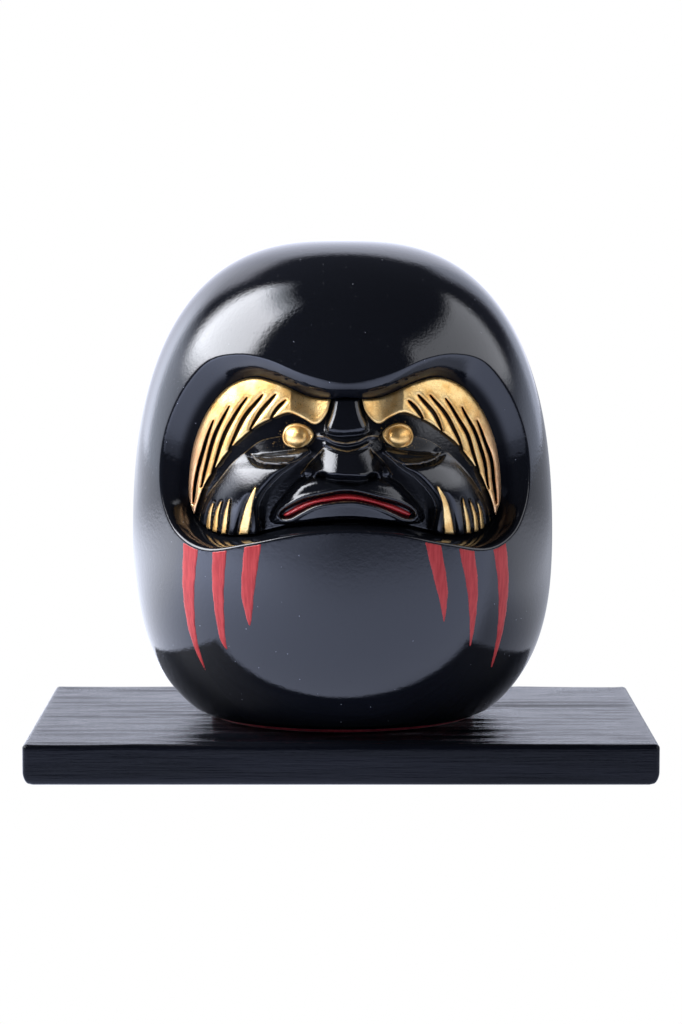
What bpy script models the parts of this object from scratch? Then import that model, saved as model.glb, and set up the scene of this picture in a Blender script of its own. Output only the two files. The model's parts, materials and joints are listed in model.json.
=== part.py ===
"""Daruma doll: a glazed roly-poly figure standing loose on a low display board.

World frame: metres, +Z up, origin at the centre of the board's underside, the doll
facing -Y. "Left" is the -X side and "right" the +X side. The doll's own pieces are
modelled about the axis of its body, with z = 0 at LAYOUT_RISE above the board's top.
"""

import math

import bmesh
import bpy
from mathutils import Matrix, Vector

MM = 0.001
GAP = 0.35 * MM

# display board
BOARD_WIDTH = 153.6 * MM
BOARD_DEPTH = 94.0 * MM
BOARD_THICK = 10.0 * MM
BOARD_EDGE_ROUND = 1.4 * MM

# where the doll stands on the board
DOLL_BACK = 2.1 * MM
DOLL_SIDE = 0.4 * MM
LAYOUT_RISE = 0.7 * MM
DOLL_TURN = math.radians(1.3)

# body, a solid of revolution with a softly squared crown and a narrower foot
BODY_RADIUS = 53.2 * MM
BELLY_SPLIT = 45.0 * MM
CROWN_BASE, CROWN_RISE = 42.0 * MM, 77.5 * MM
CROWN_POWERS = (2.5, 2.7)
FOOT_BASE, FOOT_DROP = 48.0 * MM, 56.5 * MM
FOOT_POWERS = (2.9, 2.45)
FOOT_HEIGHT = 0.7 * MM
FOOT_EDGE = 0.7 * MM
WALL = 5.0 * MM
OPENING_RADIUS = 24.0 * MM
OPENING_RISE = 7.0 * MM
BODY_STEPS, CROWN_SEGMENTS, FOOT_SEGMENTS = 72, 14, 9
CAVITY_STEPS, CAVITY_CROWN, CAVITY_FOOT = 30, 7, 5

# felt pad under the foot
PAD_RADIUS = 33.5 * MM
PAD_BOTTOM, PAD_TOP = -0.4 * MM, 0.4 * MM
PAD_ROUND = 0.15 * MM

# face recess: half outlines from the top centre round to the bottom centre, (x, z)
RIM = [(0, 86.5), (10, 88.4), (19.5, 91.8), (27, 92.5), (34, 90.2), (39.8, 83.1), (43.8, 73.9),
       (45.3, 64.6), (44.6, 56.1), (41, 48.9), (34.2, 45.7), (24, 47.6), (12, 50.2), (0, 51.3)]
FLOOR_EDGE = [(0, 82.3), (8.3, 82.5), (16, 85.7), (22.5, 87), (28.5, 84.6), (33.4, 79), (36.9, 71.2),
              (38.4, 62.5), (38.1, 55.5), (35.3, 50.6), (30, 48.7), (21, 49.6), (10.5, 52.2),
              (0, 52.9)]
OUTLINE_STEPS = 3
RECESS_CENTRE = 67.0 * MM
FLOOR_INSET = 9.0 * MM
SEAT_INSET = 12.0 * MM
RECESS_BACKING = 4.0 * MM
RECESS_OVERRUN = 6.0 * MM

# face insert
FACE_CELL = 1.7 * MM
NOSE_TOP = 70.8
FACE_HALF_WIDTH = 41.4 * MM
FACE_BOTTOM, FACE_TOP = 46.0 * MM, 89.2 * MM
FACE_SLAB_BACK = -8.0 * MM

# eyebrows, half outline of the right one as (x, z)
BROW = [(4, 81.6), (9.5, 82.7), (15.4, 85.3), (22, 86.2), (28, 84), (32.8, 78.6), (36.2, 71),
        (37.7, 62.5), (37.4, 55.5), (36.3, 52.6), (35.3, 57.5), (32.4, 63.8), (28.4, 69.2),
        (23.4, 74.4), (18.6, 77.2), (13.5, 78.6), (10.3, 77.3), (7.6, 76.2), (5, 78.4)]
BROW_LOW_END = 9
BROW_BACK, BROW_FRONT = 8.6 * MM, 7.0 * MM
BROW_SLITS = [((15.0, 81.3), (18.6, 76.4)), ((18.4, 82.3), (24.0, 73.2)), ((22.4, 82.2), (29.2, 68.4)),
              ((27.2, 80.6), (33.6, 62.2)), ((31.6, 76.4), (36.2, 57.0))]
SLIT_WIDTH = 1.0 * MM
SLIT_BOW = 1.3 * MM

# eyes
EYE_SPREAD, EYE_HEIGHT = 11.9 * MM, 73.2 * MM
EYE_SIZE = (3.6 * MM, 2.7 * MM, 2.8 * MM)
EYE_PROUD = 1.4 * MM
EYE_CUT = (0.0, -0.08, 0.0)
EYE_SEAT_GAP = 0.1 * MM

# lips, an arc drooping towards the corners
LIP_ARC = [(15.2, 54.6), (11, 57), (6, 58.7), (0, 59.3)]
LIP_RADIUS = 0.85 * MM

# gilded whiskers on each cheek, (top, bottom) of each as (x, z), and the radius at the foot
WHISKERS = [((21.8, 60.8), (24.5, 52.2), 1.1 * MM), ((28.4, 57.2), (29.6, 51.2), 0.7 * MM),
            ((30.6, 56.4), (31.6, 51.4), 0.65 * MM), ((32.7, 55.6), (33.4, 52.0), 0.6 * MM)]
WHISKER_TIP = 0.3 * MM
WHISKER_SEGMENTS = 6

# red strokes below the recess: (name, x and z along the centre line, half width at the top)
STROKES = [("left_outer_stroke", [(-37.4, 49), (-38.3, 36), (-37.2, 24), (-34, 14.4)], 2.1 * MM),
           ("left_middle_stroke", [(-30.4, 49), (-31, 36.5), (-30.1, 25), (-28.8, 21.2)], 2.0 * MM),
           ("left_inner_stroke", [(-22.2, 51), (-23.8, 37), (-23.6, 31), (-23.4, 27.6)], 2.3 * MM),
           ("right_inner_stroke", [(19.6, 52), (22.5, 38.5), (23.2, 33), (23.3, 28.4)], 2.1 * MM),
           ("right_middle_stroke", [(28.2, 49), (30.2, 38), (30.5, 29), (29.9, 21.2)], 2.1 * MM),
           ("right_outer_stroke", [(36.8, 49), (38.3, 37), (37.7, 25), (35.4, 14.2)], 2.0 * MM)]
STROKE_THICK = 0.5 * MM
STROKE_STOP = 0.6 * MM

PARTS = "daruma_doll"
TOOLS = "cutting_tools"
FAR = 80.0 * MM
TO_FRONT = Matrix.Rotation(math.pi / 2, 3, "X")


# ---------------------------------------------------------------- scene and materials
def start_scene():
    for obj in list(bpy.data.objects):
        bpy.data.objects.remove(obj, do_unlink=True)
    made = []
    for name in (PARTS, TOOLS):
        group = bpy.data.collections.new(name)
        bpy.context.scene.collection.children.link(group)
        made.append(group)
    return made


def material(name, color, roughness, metallic=0.0, coat=0.0):
    made = bpy.data.materials.new(name)
    made.use_nodes = True
    shader = made.node_tree.nodes["Principled BSDF"]
    shader.inputs["Base Color"].default_value = (*color, 1.0)
    shader.inputs["Roughness"].default_value = roughness
    shader.inputs["Metallic"].default_value = metallic
    shader.inputs["Coat Weight"].default_value = coat
    return made


def make_materials():
    return {
        "glaze": material("black_glaze", (0.008, 0.009, 0.011), 0.12, coat=0.6),
        "gold": material("satin_gold", (0.83, 0.56, 0.20), 0.32, metallic=1.0),
        "lip": material("lip_red", (0.33, 0.02, 0.02), 0.30, coat=0.3),
        "stroke": material("stroke_red", (0.45, 0.04, 0.05), 0.38),
        "felt": material("red_felt", (0.30, 0.02, 0.03), 0.95),
        "wood": material("black_stained_wood", (0.022, 0.022, 0.026), 0.55),
    }


def put_in(obj, group, slot=None):
    group.objects.link(obj)
    if slot is not None:
        obj.data.materials.clear()
        obj.data.materials.append(slot)
        for face in obj.data.polygons:
            face.material_index = 0
    return obj


def as_tool(obj, group):
    group.objects.link(obj)
    obj.hide_render = True
    obj.display_type = "WIRE"
    return obj


def smooth(obj):
    for face in obj.data.polygons:
        face.use_smooth = True
    return obj


def boolean(obj, operation, other):
    cut = obj.modifiers.new(f"{operation.lower()}_{other.name}", "BOOLEAN")
    cut.operation = operation
    cut.object = other
    cut.solver = "EXACT"


# ---------------------------------------------------------------- the body's surface
def body_radius(z, inset=0.0):
    """Radius at height z of the body's surface, or of the surface this far inside it."""
    if z >= BELLY_SPLIT:
        t, (p, q) = (z - CROWN_BASE) / (CROWN_RISE - inset), CROWN_POWERS
    else:
        t, (p, q) = (FOOT_BASE - z) / (FOOT_DROP - inset), FOOT_POWERS
    t = min(max(t, 0.0), 1.0)
    return (BODY_RADIUS - inset) * (1.0 - t**p) ** (1.0 / q)


def surface_y(x, z, inset=0.0):
    """y of the front of that surface."""
    radius = body_radius(z, inset)
    return -math.sqrt(max(radius * radius - x * x, (15 * MM) ** 2))


def profile(inset, crown, foot, bottom):
    """Points (radius, z) of the surface from the top centre down to z = bottom."""
    points = []
    p, q = CROWN_POWERS
    lowest = math.asin(((BELLY_SPLIT - CROWN_BASE) / (CROWN_RISE - inset)) ** (p / 2))
    for i in range(crown + 1):
        angle = math.pi / 2 + (lowest - math.pi / 2) * i / crown
        height = CROWN_BASE + (CROWN_RISE - inset) * math.sin(angle) ** (2 / p)
        points.append((body_radius(height, inset) if i else 0.0, height))
    for i in range(1, foot + 1):
        height = BELLY_SPLIT + (bottom - BELLY_SPLIT) * i / foot
        points.append((body_radius(height, inset), height))
    return points


def revolved(name, points, steps):
    """The points, listed from top to bottom at +X, turned about Z."""
    mesh = bpy.data.meshes.new(name)
    shape = bmesh.new()
    ring = [shape.verts.new((x, 0.0, z)) for x, z in points]
    for first, second in zip(ring, ring[1:]):
        shape.edges.new((first, second))
    shape.to_mesh(mesh)
    shape.free()
    obj = bpy.data.objects.new(name, mesh)
    screw = obj.modifiers.new("turn", "SCREW")
    screw.axis = "Z"
    screw.steps = screw.render_steps = steps
    screw.use_merge_vertices = True
    screw.merge_threshold = 0.00001
    screw.use_smooth_shade = True
    return obj


def inner_solid(name, inset, tools):
    """The body's shape this far inside its surface, closed by a flat foot."""
    points = profile(inset, CROWN_SEGMENTS, FOOT_SEGMENTS, FOOT_HEIGHT)
    return as_tool(revolved(name, points + [(0.0, FOOT_HEIGHT)], BODY_STEPS), tools)


# ---------------------------------------------------------------- outlines
def whole_outline(half):
    """A half outline in millimetres, mirrored into a closed one."""
    right = [Vector((x * MM, z * MM)) for x, z in half]
    return right + [Vector((-p.x, p.y)) for p in reversed(right[1:-1])]


def through(points, steps):
    """A closed smooth curve through the points."""
    count = len(points)
    made = []
    for i in range(count):
        a, b, c, d = (points[(i + k - 1) % count] for k in range(4))
        for step in range(steps):
            t = step / steps
            made.append(0.5 * (2 * b + (c - a) * t + (2 * a - 5 * b + 4 * c - d) * t**2
                               + (3 * b - a - 3 * c + d) * t**3))
    return made


def mesh_from_curve(curve, name):
    """The curve as a mesh object, its caps welded to its sides."""
    source = bpy.data.objects.new(name + "_curve", curve)
    bpy.context.scene.collection.objects.link(source)
    graph = bpy.context.evaluated_depsgraph_get()
    mesh = bpy.data.meshes.new_from_object(source.evaluated_get(graph))
    bpy.data.objects.remove(source, do_unlink=True)
    shape = bmesh.new()
    shape.from_mesh(mesh)
    bmesh.ops.remove_doubles(shape, verts=shape.verts, dist=0.000001)
    bmesh.ops.recalc_face_normals(shape, faces=shape.faces)
    shape.to_mesh(mesh)
    shape.free()
    mesh.name = name
    return bpy.data.objects.new(name, mesh)


def prism(name, outlines):
    """Outlines in the X-Z plane, filled and drawn out along Y from the axis to well in front."""
    curve = bpy.data.curves.new(name, "CURVE")
    curve.dimensions = "2D"
    curve.fill_mode = "BOTH"
    curve.extrude = FAR / 2
    for outline in outlines:
        spline = curve.splines.new("POLY")
        spline.points.add(len(outline) - 1)
        for point, place in zip(spline.points, outline):
            point.co = (place.x, place.y, 0.0, 1.0)
        spline.use_cyclic_u = True
    obj = mesh_from_curve(curve, name)
    for vertex in obj.data.vertices:
        x, z, y = vertex.co
        vertex.co = (x, y - FAR / 2, z)
    obj.data.flip_normals()
    return obj


def ribbon(points, half_widths):
    """The outline of a flat stroke along the points."""
    left, right = [], []
    for i, here in enumerate(points):
        along = points[min(i + 1, len(points) - 1)] - points[max(i - 1, 0)]
        across = Vector((-along.y, along.x)).normalized() * half_widths[i]
        left.append(here + across)
        right.append(here - across)
    return left + right[::-1]


def rod(name, points, radii):
    """A round bar of changing radius through points in space."""
    curve = bpy.data.curves.new(name, "CURVE")
    curve.dimensions = "3D"
    curve.fill_mode = "FULL"
    curve.bevel_depth = 1.0
    curve.bevel_resolution = 2
    curve.use_fill_caps = True
    spline = curve.splines.new("POLY")
    spline.points.add(len(points) - 1)
    for point, place, radius in zip(spline.points, points, radii):
        point.co = (*place, 1.0)
        point.radius = radius
    return mesh_from_curve(curve, name)


# ---------------------------------------------------------------- recess
def wall_point(rim, edge, inset, gap=0.0):
    """A point of the recess's sloping wall at this depth, moved inwards by the gap."""
    share = inset / FLOOR_INSET
    flat = rim.lerp(edge, share)
    inwards = Vector((0.0, RECESS_CENTRE)) - flat
    flat = flat + inwards.normalized() * gap
    return Vector((flat.x, surface_y(flat.x, flat.y, inset), flat.y))


def recess_tool(name, gap, tools):
    """The space within the recess's wall, a loft from the rim's outline to the floor's."""
    rims = through(whole_outline(RIM), OUTLINE_STEPS)
    edges = through(whole_outline(FLOOR_EDGE), OUTLINE_STEPS)
    rings = []
    for inset in (-RECESS_OVERRUN, 0.0, FLOOR_INSET / 2, FLOOR_INSET, SEAT_INSET + MM):
        rings.append([wall_point(rim, edge, inset, gap) for rim, edge in zip(rims, edges)])
    rings.insert(0, [Vector((p.x, -FAR, p.z)) for p in rings[0]])
    rings.append([Vector((p.x, 0.0, p.z)) for p in rings[-1]])
    shape = bmesh.new()
    rings = [[shape.verts.new(p) for p in ring] for ring in rings]
    for near, far in zip(rings, rings[1:]):
        for i in range(len(near)):
            j = (i + 1) % len(near)
            shape.faces.new((near[i], near[j], far[j], far[i]))
    shape.faces.new(rings[0])
    shape.faces.new(rings[-1][::-1])
    bmesh.ops.recalc_face_normals(shape, faces=shape.faces)
    mesh = bpy.data.meshes.new(name)
    shape.to_mesh(mesh)
    shape.free()
    return as_tool(bpy.data.objects.new(name, mesh), tools)


# ---------------------------------------------------------------- body, pad and board
def make_body(group, tools, slots):
    """Hollow body open at the foot, its wall carried round behind the face recess."""
    points = profile(0.0, CROWN_SEGMENTS, FOOT_SEGMENTS, FOOT_HEIGHT + FOOT_EDGE)
    foot = body_radius(FOOT_HEIGHT, 0.0) - FOOT_EDGE
    points += [(foot, FOOT_HEIGHT), (0.0, FOOT_HEIGHT)]
    body = put_in(revolved("body_shell", points, BODY_STEPS), group, slots["glaze"])

    backing = recess_tool("recess_backing", -RECESS_BACKING, tools)
    boolean(backing, "DIFFERENCE", inner_solid("behind_backing", SEAT_INSET + RECESS_BACKING, tools))
    inside = profile(WALL, CAVITY_CROWN, CAVITY_FOOT, OPENING_RISE)
    inside += [(OPENING_RADIUS, OPENING_RISE), (OPENING_RADIUS, -MM), (0.0, -MM)]
    cavity = as_tool(revolved("cavity", inside, CAVITY_STEPS), tools)
    boolean(cavity, "DIFFERENCE", backing)

    recess = recess_tool("face_recess", 0.0, tools)
    boolean(recess, "DIFFERENCE", inner_solid("recess_floor", SEAT_INSET, tools))
    boolean(body, "DIFFERENCE", cavity)
    boolean(body, "DIFFERENCE", recess)
    return body


def make_pad(group, slots):
    shape = bmesh.new()
    bmesh.ops.create_cone(shape, cap_ends=True, segments=64, radius1=PAD_RADIUS,
                          radius2=PAD_RADIUS, depth=PAD_TOP - PAD_BOTTOM)
    bmesh.ops.translate(shape, verts=shape.verts, vec=(0, 0, (PAD_TOP + PAD_BOTTOM) / 2))
    mesh = bpy.data.meshes.new("foot_pad")
    shape.to_mesh(mesh)
    shape.free()
    pad = put_in(bpy.data.objects.new("foot_pad", mesh), group, slots["felt"])
    soften(pad, PAD_ROUND, 1)
    return pad


def soften(obj, width, segments):
    bevel = obj.modifiers.new("rounded_edges", "BEVEL")
    bevel.width = width
    bevel.segments = segments
    bevel.limit_method = "ANGLE"
    bevel.angle_limit = math.radians(40)


def make_board(group, slots):
    shape = bmesh.new()
    bmesh.ops.create_cube(shape, size=1.0)
    bmesh.ops.scale(shape, verts=shape.verts, vec=(BOARD_WIDTH, BOARD_DEPTH, BOARD_THICK))
    bmesh.ops.translate(shape, verts=shape.verts, vec=(0, 0, BOARD_THICK / 2))
    mesh = bpy.data.meshes.new("display_board")
    shape.to_mesh(mesh)
    shape.free()
    board = put_in(bpy.data.objects.new("display_board", mesh), group, slots["wood"])
    soften(board, BOARD_EDGE_ROUND, 3)
    return board


# ---------------------------------------------------------------- face
def mound(x, z, place, spread, power=2):
    """A smooth rise of height 1 over a mirrored pair of places, lengths in millimetres."""
    across = abs((abs(x) / MM - place[0]) / spread[0]) ** power
    along = abs((z / MM - place[1]) / spread[1]) ** power
    return math.exp(-across - along)


def clear_of_brow(x, z):
    """1 on the open face, falling to 0 before the lower edge of the brow above it."""
    across = abs(x) / MM
    edge = BROW[BROW_LOW_END:][::-1]
    if across < edge[0][0] - 2.6:
        return 1.0
    level = edge[0][1]
    for (x0, z0), (x1, z1) in zip(edge, edge[1:]):
        if x0 <= across <= x1:
            level = z0 + (z1 - z0) * (across - x0) / (x1 - x0)
    if across > edge[-1][0]:
        return 0.0
    return min(max((level - z / MM - 1.9) / 2.4, 0.0), 1.0)


def relief(x, z):
    """How far the face stands out from its ground at x, z."""
    down = max(0.0, NOSE_TOP - z / MM)
    nose = (2.4 + 0.6 * down) * mound(x, z, (0, 66.6), (4.6 + 0.62 * down, 4.7), 6)
    bridge = 1.7 * mound(x, z, (0, 78.0), (4.2, 8.0), 4)
    cheek = max(4.9 * mound(x, z, (22.5, 62.0), (7.6, 6.2)),
                3.6 * mound(x, z, (27.5, 54.5), (6.5, 6.5)))
    muzzle = 4.3 * mound(x, z, (0, 56.6), (17.5, 5.4), 4)
    lid = 1.7 * mound(x, z, (15.5, 67.8), (7.0, 1.8))
    rise = max(nose, bridge, cheek, muzzle) + lid
    return rise * clear_of_brow(x, z) * MM


def face_y(x, z):
    return surface_y(x, z, FLOOR_INSET) - relief(x, z)


def on_face(x, z):
    return Vector((x, face_y(x, z), z))


def lip_path():
    half = [Vector((x * MM, z * MM)) for x, z in LIP_ARC]
    flat = [Vector((-p.x, p.y)) for p in half] + half[-2::-1]
    flat = through(flat + [flat[-1]], 2)[: 2 * len(flat) - 1]
    return [on_face(p.x, p.y) for p in flat]


def whisker_path(side, top, bottom):
    start = Vector((side * top[0], top[1])) * MM
    end = Vector((side * bottom[0], bottom[1])) * MM
    flat = [start.lerp(end, i / WHISKER_SEGMENTS) for i in range(WHISKER_SEGMENTS + 1)]
    return [on_face(p.x, p.y) for p in flat]


def lengthened(points, extra):
    first = points[0] + (points[0] - points[1]).normalized() * extra
    last = points[-1] + (points[-1] - points[-2]).normalized() * extra
    return [first] + points[1:-1] + [last]


def taper(count, tip, foot):
    return [tip + (foot - tip) * (i / (count - 1)) ** 0.7 for i in range(count)]


def brow_outline(side):
    return through([Vector((side * x * MM, z * MM)) for x, z in BROW], 2)


def slit_outlines(side):
    """Narrow leaf shapes, bowed away from the eye, that part the hairs of a brow."""
    outlines = []
    for (x0, z0), (x1, z1) in BROW_SLITS:
        start, end = Vector((side * x0, z0)) * MM, Vector((side * x1, z1)) * MM
        chord = end - start
        bow = Vector((-chord.y, chord.x)).normalized() * side * SLIT_BOW
        line = [start + chord * t + bow * 4 * t * (1 - t) for t in (0, 0.2, 0.4, 0.6, 0.8, 1.0)]
        outlines.append(ribbon(line, [SLIT_WIDTH * w / 2 for w in (0.1, 0.6, 0.9, 1, 1, 1)]))
    return outlines


def make_brow(side, group, tools, slots):
    name = "left_brow" if side < 0 else "right_brow"
    brow = put_in(prism(name, [brow_outline(side)]), group, slots["gold"])
    boolean(brow, "INTERSECT", tools.objects["brow_front"])
    boolean(brow, "DIFFERENCE", tools.objects["brow_back"])
    boolean(brow, "DIFFERENCE", as_tool(prism(name + "_slits", slit_outlines(side)), tools))
    return brow


def make_eye(side, group, tools, slots):
    """A half dome with a flat back, and the flat seat it stands on."""
    name = "left_eye" if side < 0 else "right_eye"
    centre_x = side * EYE_SPREAD
    back = surface_y(centre_x, EYE_HEIGHT, FLOOR_INSET) - EYE_PROUD
    shape = bmesh.new()
    bmesh.ops.create_uvsphere(shape, u_segments=20, v_segments=12, radius=1.0)
    bmesh.ops.rotate(shape, verts=shape.verts, matrix=TO_FRONT, cent=(0, 0, 0))
    cut = bmesh.ops.bisect_plane(shape, geom=shape.verts[:] + shape.edges[:] + shape.faces[:],
                                 plane_co=EYE_CUT, plane_no=(0, 1, 0), clear_outer=True)
    rim = [e for e in cut["geom_cut"] if isinstance(e, bmesh.types.BMEdge)]
    bmesh.ops.contextual_create(shape, geom=rim)
    bmesh.ops.scale(shape, verts=shape.verts, vec=EYE_SIZE)
    bmesh.ops.recalc_face_normals(shape, faces=shape.faces)
    mesh = bpy.data.meshes.new(name)
    shape.to_mesh(mesh)
    shape.free()
    eye = smooth(put_in(bpy.data.objects.new(name, mesh), group, slots["gold"]))
    eye.location = (centre_x, back, EYE_HEIGHT)
    shape = bmesh.new()
    bmesh.ops.create_cone(shape, cap_ends=True, segments=24, radius1=1.0, radius2=1.0, depth=FAR)
    bmesh.ops.rotate(shape, verts=shape.verts, matrix=TO_FRONT, cent=(0, 0, 0))
    bmesh.ops.scale(shape, verts=shape.verts, vec=(EYE_SIZE[0] + GAP, 1.0, EYE_SIZE[2] + GAP))
    bmesh.ops.translate(shape, verts=shape.verts,
                        vec=(centre_x, back + EYE_SEAT_GAP - FAR / 2, EYE_HEIGHT))
    mesh = bpy.data.meshes.new(name + "_seat")
    shape.to_mesh(mesh)
    shape.free()
    return eye, as_tool(bpy.data.objects.new(name + "_seat", mesh), tools)


def make_whiskers(side, group, tools, slots):
    made, grooves = [], []
    word = "left" if side < 0 else "right"
    for number, (top, bottom, foot) in enumerate(WHISKERS, 1):
        name = f"{word}_whisker_{number}"
        path = whisker_path(side, top, bottom)
        radii = taper(len(path), WHISKER_TIP, foot)
        made.append(smooth(put_in(rod(name, path, radii), group, slots["gold"])))
        groove = rod(name + "_groove", lengthened(path, GAP), [r + GAP for r in radii])
        grooves.append(as_tool(groove, tools))
    return made, grooves


def make_lips(group, tools, slots):
    path = lip_path()
    half = len(path) // 2
    radii = [LIP_RADIUS * (0.62 + 0.38 * (1 - (abs(i - half) / half) ** 2))
             for i in range(len(path))]
    lips = smooth(put_in(rod("lips", path, radii), group, slots["lip"]))
    groove = rod("lip_groove", lengthened(path, 2 * GAP), [r + GAP for r in radii])
    return lips, as_tool(groove, tools)


def make_face(group, tools, slots, seats):
    """The carved insert: a slab with the relief on its front, trimmed to the recess."""
    columns = round(2 * FACE_HALF_WIDTH / FACE_CELL)
    rows = round((FACE_TOP - FACE_BOTTOM) / FACE_CELL)
    shape = bmesh.new()
    bmesh.ops.create_grid(shape, x_segments=columns, y_segments=rows, size=1.0)
    front = list(shape.verts)
    for vertex in front:
        x = vertex.co.x * FACE_HALF_WIDTH
        z = FACE_BOTTOM + (FACE_TOP - FACE_BOTTOM) * (vertex.co.y + 1) / 2
        vertex.co = (x, face_y(x, z), z)
    back = bmesh.ops.extrude_face_region(shape, geom=shape.faces[:])
    for item in back["geom"]:
        if isinstance(item, bmesh.types.BMVert):
            item.co.y = FACE_SLAB_BACK
    bmesh.ops.recalc_face_normals(shape, faces=shape.faces)
    mesh = bpy.data.meshes.new("face_insert")
    shape.to_mesh(mesh)
    shape.free()
    face = smooth(put_in(bpy.data.objects.new("face_insert", mesh), group, slots["glaze"]))
    boolean(face, "INTERSECT", recess_tool("insert_outline", GAP, tools))
    boolean(face, "DIFFERENCE", inner_solid("insert_back", SEAT_INSET - GAP, tools))
    for seat in seats:
        boolean(face, "DIFFERENCE", seat)
    return face


# ---------------------------------------------------------------- painted strokes
def make_stroke(name, line, half_width, group, tools, slots):
    """A tapering stroke that follows the body's surface."""
    points = [Vector((x * MM, z * MM)) for x, z in line]
    fine = []
    for i in range(len(points) - 1):
        a, b = points[max(i - 1, 0)], points[i]
        c, d = points[i + 1], points[min(i + 2, len(points) - 1)]
        for t in (0.0, 0.34, 0.67):
            fine.append(0.5 * (2 * b + (c - a) * t + (2 * a - 5 * b + 4 * c - d) * t**2
                               + (3 * b - a - 3 * c + d) * t**3))
    fine.append(points[-1])
    count = len(fine)
    widths = [half_width * max(0.08, 1 - (i / (count - 1)) ** 1.3) for i in range(count)]
    stroke = put_in(prism(name, [ribbon(fine, widths)]), group, slots["stroke"])
    boolean(stroke, "INTERSECT", tools.objects["stroke_front"])
    boolean(stroke, "DIFFERENCE", tools.objects["stroke_back"])
    boolean(stroke, "DIFFERENCE", tools.objects["stroke_stop"])
    return stroke


def main():
    group, tools = start_scene()
    slots = make_materials()
    for name, inset in (("brow_front", BROW_FRONT), ("brow_back", BROW_BACK),
                        ("stroke_back", -GAP),
                        ("stroke_front", -GAP - STROKE_THICK)):
        inner_solid(name, inset, tools)
    recess_tool("stroke_stop", -STROKE_STOP, tools)

    on_doll = [make_body(group, tools, slots), make_pad(group, slots)]
    seats = []
    for side in (-1, 1):
        on_doll.append(make_brow(side, group, tools, slots))
        eye, seat = make_eye(side, group, tools, slots)
        on_doll.append(eye)
        seats.append(seat)
        whiskers, grooves = make_whiskers(side, group, tools, slots)
        on_doll += whiskers
        seats += grooves
    lips, groove = make_lips(group, tools, slots)
    on_doll.append(lips)
    on_doll.append(make_face(group, tools, slots, seats + [groove]))
    for name, line, half_width in STROKES:
        on_doll.append(make_stroke(name, line, half_width, group, tools, slots))

    make_board(group, slots)
    stand = bpy.data.objects.new("doll_axis", None)
    group.objects.link(stand)
    stand.location = (DOLL_SIDE, DOLL_BACK, BOARD_THICK + LAYOUT_RISE)
    stand.rotation_euler = (0.0, 0.0, DOLL_TURN)
    for obj in on_doll + list(tools.objects):
        obj.parent = stand


main()
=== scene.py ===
"""Looks of the daruma doll: a black glazed figure with a carved and gilded face, loose on a dark board.

Unless a name says otherwise, lengths are millimetres in the doll's own frame: x to the viewer's right,
-y towards the viewer and z up, with the origin on the body's axis, LAYOUT_RISE above the board.
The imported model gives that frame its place, and gives the sizes of the body, the pad and the board.
"""

import json
import math

import bmesh
import bpy
import numpy as np
from mathutils import Matrix, Vector, noise


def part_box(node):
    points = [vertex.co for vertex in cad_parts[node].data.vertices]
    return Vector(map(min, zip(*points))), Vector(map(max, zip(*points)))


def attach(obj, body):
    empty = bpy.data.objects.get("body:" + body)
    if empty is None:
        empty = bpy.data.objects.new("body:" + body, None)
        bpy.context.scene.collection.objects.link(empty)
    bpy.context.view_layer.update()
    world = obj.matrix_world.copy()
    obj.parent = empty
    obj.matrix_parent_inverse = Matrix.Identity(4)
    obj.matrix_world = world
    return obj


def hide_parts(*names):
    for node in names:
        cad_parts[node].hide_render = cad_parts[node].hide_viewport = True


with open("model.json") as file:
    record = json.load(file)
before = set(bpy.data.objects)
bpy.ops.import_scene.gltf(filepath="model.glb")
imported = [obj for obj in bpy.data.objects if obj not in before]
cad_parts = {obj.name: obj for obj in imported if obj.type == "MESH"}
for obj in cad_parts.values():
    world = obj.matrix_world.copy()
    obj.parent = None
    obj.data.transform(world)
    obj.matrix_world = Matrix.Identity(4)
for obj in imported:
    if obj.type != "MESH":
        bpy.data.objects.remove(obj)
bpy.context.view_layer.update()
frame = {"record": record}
BODIES = {node: body for body, nodes in frame["record"]["behaviour"]["bodies"].items() for node in nodes}
MM = 0.001


def node_centre(name):
    low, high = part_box(name)
    return (low + high) / 2


def node_size(name):
    low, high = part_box(name)
    return (high - low) / MM


BOARD_SIZE = node_size("display_board")
BOARD_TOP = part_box("display_board")[1].z
LAYOUT_RISE = 0.7
DOLL_ZERO = BOARD_TOP + LAYOUT_RISE * MM
BODY_CENTRE = node_centre("body_shell")
EYE_LINE = node_centre("right_eye") - node_centre("left_eye")
DOLL_TURN = math.atan2(EYE_LINE.y, EYE_LINE.x)
DOLL_SPOT = Matrix.Translation((BODY_CENTRE.x, BODY_CENTRE.y, DOLL_ZERO))
DOLL_FRAME = DOLL_SPOT @ Matrix.Rotation(DOLL_TURN, 4, "Z") @ Matrix.Scale(MM, 4)
BOARD_FRAME = Matrix.Translation(node_centre("display_board")) @ Matrix.Scale(MM, 4)

# body, a solid of revolution with a softly squared crown and a narrower foot
BODY_RADIUS = node_size("body_shell").x / 2
BODY_TOP = (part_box("body_shell")[1].z - DOLL_ZERO) / MM
CROWN_BASE, CROWN_POWERS = 42.0, (2.5, 2.7)
FOOT_BASE, FOOT_DROP, FOOT_POWERS = 48.0, 56.5, (2.9, 2.45)
CROWN_RISE = BODY_TOP - CROWN_BASE
BELLY_BLEND = (38.0, 52.0)
FOOT_HEIGHT = (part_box("body_shell")[0].z - DOLL_ZERO) / MM
FOOT_EDGE = 0.9
BODY_CELL = 1.0
PROFILE_JOIN, PROFILE_STEPS = 60.0, (11, 400, 600)
LEAST_DEPTH = 10.0

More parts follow.
